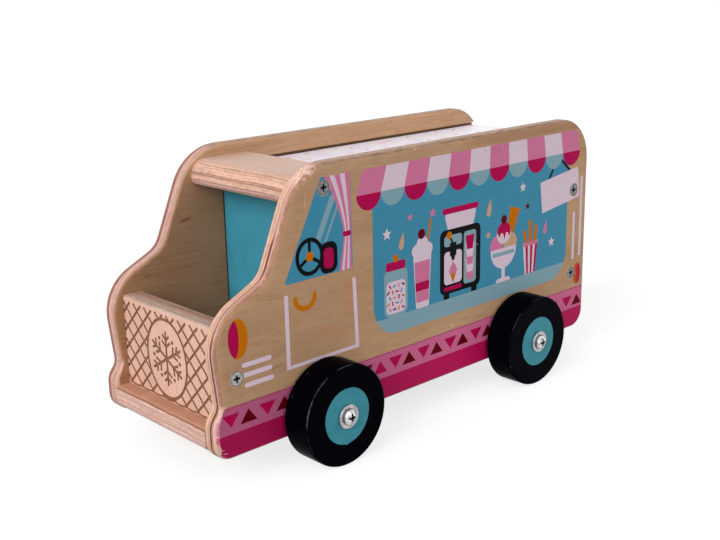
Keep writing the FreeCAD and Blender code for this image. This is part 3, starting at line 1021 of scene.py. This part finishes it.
def painted_wood(name, colours, roughness, seam_start, seam_and_shade_tone, painted_shade_top=1000.0):
    """Sprayed paint on a plywood panel: slight orange peel and soft mottling, thin and dark at the panel's sides,
    partly a dark joint and partly painted shade where they meet the side boards.

    The last argument is the height up to which the paint is darkened, as painted shade under the header.
    """
    finish = Finish(name, roughness, specular=0.3)
    _, y, z = finish.place.axes()
    coat = finish.noise(35, 4).fade(0.3, 0.75).mix(*colours)
    # Painted shade: the paint darkens over the 13 mm below the given height, as under the header.
    coat = (z.fade(painted_shade_top - 13.0, painted_shade_top) * -0.3 + 1.0).scale(coat)
    # The panel's sides: a dark joint, partly painted shade, where they meet the side boards.
    coat = abs(y).fade(seam_start, seam_start + 0.3).mix(coat, seam_and_shade_tone)
    return finish.apply(coat, finish.noise(700, 2) + finish.grain(Y, 30, 700, 2), 0.06)


def lacquered_wheel(names):
    """Gloss black lacquer on turned wood, with dust specks, and a patchy painted highlight along the outer rim,
    brightest at the top.

    The rear wheels are greyer on their faces, and the front ones have more of the rim's painted highlight.
    """
    finish = Finish("black_lacquer", specular=0.003)
    x, y, z = finish.place.axes()
    smear = finish.noise(60, 4)
    nearest = 1000.0
    for name in names:
        if name.endswith("_left"):
            nearest = finish.reach(name).math("MINIMUM", nearest)
    wheel_low, wheel_high = box_mm(names[0])
    radius = (wheel_high.z - wheel_low.z) / 2
    face_y = max(abs(wheel_low.y), abs(wheel_high.y))
    # Painted highlight: a patchy light grey line along the outer rim, stronger at the top and on the front wheels.
    rim_highlight = nearest.fade(radius - 0.8, radius - 0.55) * abs(y).fade(face_y - 0.8, face_y - 0.55)
    rim_highlight = rim_highlight * finish.noise(120).fade(0.42, 0.64) * (z.fade(18, 34) * 0.55 + 0.3) * (x.fade(-10, 10) * 0.7 + 0.3)
    faded = abs(finish.facing.axes()[Y]).fade(0.9, 0.99) * (x.fade(10, -10) * 0.75 + 0.25)
    base = (smear * 0.5).mix(tone(3, 2, 6), tone(7, 5, 11))
    base = faded.mix(base, tone(15, 14, 19))
    base = rim_highlight.mix(base, tone(86, 90, 104))
    base = (finish.specks(190, 0.07, 0.16) * 0.55).mix(base, tone(120, 116, 120))
    return finish.apply(base, finish.noise(420, 2), 0.03, smear * 0.14 + 0.18)


def zinc():
    """Bright zinc plating, a little cloudy."""
    finish = Finish("zinc_plating", metallic=1.0)
    cloud = finish.noise(420)
    plating = cloud.fade(0.3, 0.7).mix(tone(196, 193, 191), tone(160, 158, 158))
    return finish.apply(plating, finish.grain(Y, 180, 2600, 1), 0.08, cloud * 0.25 + 0.2, 0.0001)


def screw_head(node, crown, bright, dull):
    """Plated screw head, with painted shade at its rim, round its middle and down in the cross recess.

    crown is the head's rise over the recess's reach; bright and dull are the plating's two tones, whose dark patches
    are partly painted reflection.
    """
    head_low, head_high = box_mm(node)
    radius = (head_high.z - head_low.z) / 2
    face_y = max(abs(head_low.y), abs(head_high.y)) - crown
    finish = Finish("zinc_" + node, metallic=1.0)
    cloud = finish.noise(620)
    reach = finish.reach(node)
    height = abs(finish.place.axes()[Y])
    plating = cloud.fade(0.3, 0.8).mix(bright, dull)
    # Painted shade: a dark ring at the head's rim and a dark patch round its middle.
    plating = (reach.fade(radius - 0.7, radius - 0.15) * 0.8).mix(plating, tone(64, 62, 62))
    plating = (reach.fade(0.46 * radius, 0.2 * radius) * 0.55).mix(plating, tone(40, 40, 42))
    # Painted shade down in the cross recess.
    in_cross = height.fade(face_y - 0.1, face_y - 0.35) * reach.fade(0.72 * radius, 0.6 * radius)
    return finish.apply(in_cross.mix(plating, tone(8, 8, 10)), cloud, 0.06, cloud * 0.2 + 0.2, 0.0001)


def dress(nodes, material):
    """Gives CAD nodes their material."""
    for name in nodes:
        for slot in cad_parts[name].material_slots:
            slot.material = material


header_foot = box_mm("roof_header")[0].z
wheels = [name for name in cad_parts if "_wheel_" in name]
dress(["side_board_left"], painted_side("plywood_left", left_edge, (-0.75, -0.97), left_marks, left_scratches, True))
dress(["side_board_right"], painted_side("plywood_right", right_edge, (-0.35, -0.8), right_marks, [], False))
dress(["floor_board"], plywood("plywood_floor", "floor_board", Z, bumper_edge, X, warm_veneer))
dress(["rear_panel"], plywood("plywood_rear", "rear_panel", X, header_edge, Y, grille_veneer))
dress(["roof_header"], plywood("plywood_header", "roof_header", Z, header_edge, Y, header_veneer))
dress(["cab_bulkhead"], painted_wood("teal_paint", (tone(60, 145, 167), tone(54, 136, 158)), 0.42,
                                    side_low.y - 1.2, tone(12, 24, 28), header_foot))
dress(["roof_panel"], painted_wood("white_paint", (tone(241, 235, 245), tone(233, 225, 237)), 0.45,
                                  side_low.y - 0.3, tone(62, 38, 24)))
dress(wheels, lacquered_wheel(wheels))
dress([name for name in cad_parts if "washer" in name], zinc())
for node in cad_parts:
    if "axle_screw" in node:
        dress([node], screw_head(node, 0.48, tone(236, 238, 240), tone(120, 122, 124)))
    elif node.startswith("grille_screw"):
        dress([node], screw_head(node, 0.0, tone(170, 175, 171), tone(128, 133, 129)))
    elif node.endswith(("_screw_left", "_screw_right")):
        dress([node], screw_head(node, 0.0, tone(136, 140, 140), tone(88, 91, 92)))

# ---- roof sprinkles and wheel hubs

roof_low, roof_high = box_mm("roof_panel")


def sprinkles(columns=12, rows=5):
    """Loose scatter of short printed dashes over the roof between the side boards."""
    dice = random.Random(7)
    outlines = []
    x_start, x_end = roof_low.x + 3.0, roof_high.x - 3.0
    y_end = side_low.y - 0.6
    for column in range(columns):
        for row in range(rows):
            x = x_start + (x_end - x_start) * (column + 0.5 + dice.uniform(-0.3, 0.3)) / columns
            y = -y_end + 2 * y_end * (row + 0.5 + dice.uniform(-0.24, 0.24)) / rows
            turn = dice.uniform(0, 180)
            colour = dice.choice(["tan", "pink", "tan", "tan", "orange", "tan", "pink"])
            half_length, width = (0.3, 2.5) if colour == "orange" else (dice.uniform(1.7, 2.4), 1.6)
            outlines.append(("pale_" + colour, dash((x, y), turn, half_length, width, 5)))
    return outlines


flat_piece("roof_sprinkles", *partition(sprinkles()), lambda x, y: (x, y, roof_high.z + print_lift), inks, False,
           "root", "white_paint")


def hub_paint():
    """Teal paint round the wheel's centre."""
    finish = Finish("hub_paint", 0.42, specular=0.2)
    coat = finish.noise(120).fade(0.3, 0.7).mix(tone(62, 149, 164), tone(53, 138, 154))
    return finish.apply(coat, finish.noise(500, 2), 0.05)


hub_radius = 15.15
run_sizes = (0.55, 0.3, 0.0, 0.4)


def hub_outline(centre, wheel_number, steps=96):
    """Hand-painted disc: nearly round, with a small run of paint on all but one."""
    outline = []
    for degrees in (360 * i / steps for i in range(steps)):
        t = math.radians(degrees)
        waver = 0.06 * math.sin(3 * t + wheel_number) + 0.04 * math.sin(7 * t + 2 * wheel_number)
        run = run_sizes[wheel_number] * math.exp(-((degrees - 273 + 97 * wheel_number) / 4.5) ** 2)
        outline.append(polar(centre, hub_radius + waver + run, degrees))
    return outline


hub_finish = {"paint": hub_paint()}
for number, wheel in enumerate(sorted(wheels)):
    wheel_low, wheel_high = box_mm(wheel)
    left = wheel_high.y > 0
    face_y = wheel_high.y + print_lift if left else wheel_low.y - print_lift
    disc = partition([("paint", hub_outline(middle_mm(wheel).xz, number))])
    flat_piece(wheel.replace("wheel", "hub_paint"), *disc, lambda x, z: (x, face_y, z), hub_finish, left, wheel,
               "black_lacquer")

# ---- floor, light and camera


def seen(tree):
    """1 where a surface is seen by the camera, straight or in a reflection or through glass, else 0."""
    ray = add_node(tree, "LightPath", {}, "Is Camera Ray")
    seen_in_gloss = ray.math("MAXIMUM", ray.other("Is Glossy Ray"))
    return seen_in_gloss.math("MAXIMUM", ray.other("Is Transmission Ray"))


def floor_finish():
    """Pale studio floor. Less of its light comes back onto the object than the camera sees."""
    finish = Finish("studio_floor", 1.0, specular=0.0)
    shown = seen(finish.tree)
    put(finish.shader["Emission Color"], grey(1.0))
    put(finish.shader["Emission Strength"], shown * 0.74)
    return finish.apply(shown.mix(grey(0.34), finish.noise(1.5, 2).mix(grey(0.36), grey(0.35))))


floor_half = 30.0            # in metres
floor_mesh = bpy.data.meshes.new("studio_floor")
corners = [(x, y, 0) for x, y in bar(-floor_half, floor_half, -floor_half, floor_half)]
floor_mesh.from_pydata(corners, [], [(0, 1, 2, 3)])
floor_mesh.materials.append(floor_finish())
floor = add_object("studio_floor", floor_mesh)

ambient = 0.41
world = bpy.data.worlds.new("studio")
scene.world = world
world.use_nodes = True
backdrop = world.node_tree.nodes["Background"].inputs
put(backdrop["Color"], grey(1.0))
put(backdrop["Strength"], seen(world.node_tree) * (1.0 - ambient) + ambient)


def sun(name, towards, strength, softness):
    """Soft distant lamp; towards points from the van to the lamp."""
    lamp = bpy.data.lights.new(name, "SUN")
    lamp.energy = strength * math.pi
    lamp.angle = math.radians(softness)
    add_object(name, lamp).rotation_euler = Vector(towards).to_track_quat("Z", "Y").to_euler()


sun("key_light", (0.88, 0.13, 0.46), 0.785, 45)
sun("fill_light", (0.20, 0.84, 0.50), 0.22, 60)
sun("back_light", (-0.68, -0.70, 0.22), 0.20, 60)

camera_data = bpy.data.cameras.new("camera")
camera_data.sensor_width = 36.0
camera_data.lens = 52.88
camera = add_object("camera", camera_data)
view = Matrix.Translation((0.41813, 0.44194, 0.24534))
heading, tilt, roll = 136.98, 74.39, -1.142
for degrees, axis in ((heading, "Z"), (tilt, "X"), (roll, "Z")):
    view @= Matrix.Rotation(math.radians(degrees), 4, axis)
camera.matrix_world = view
scene.camera = camera

scene.view_settings.view_transform = "Standard"
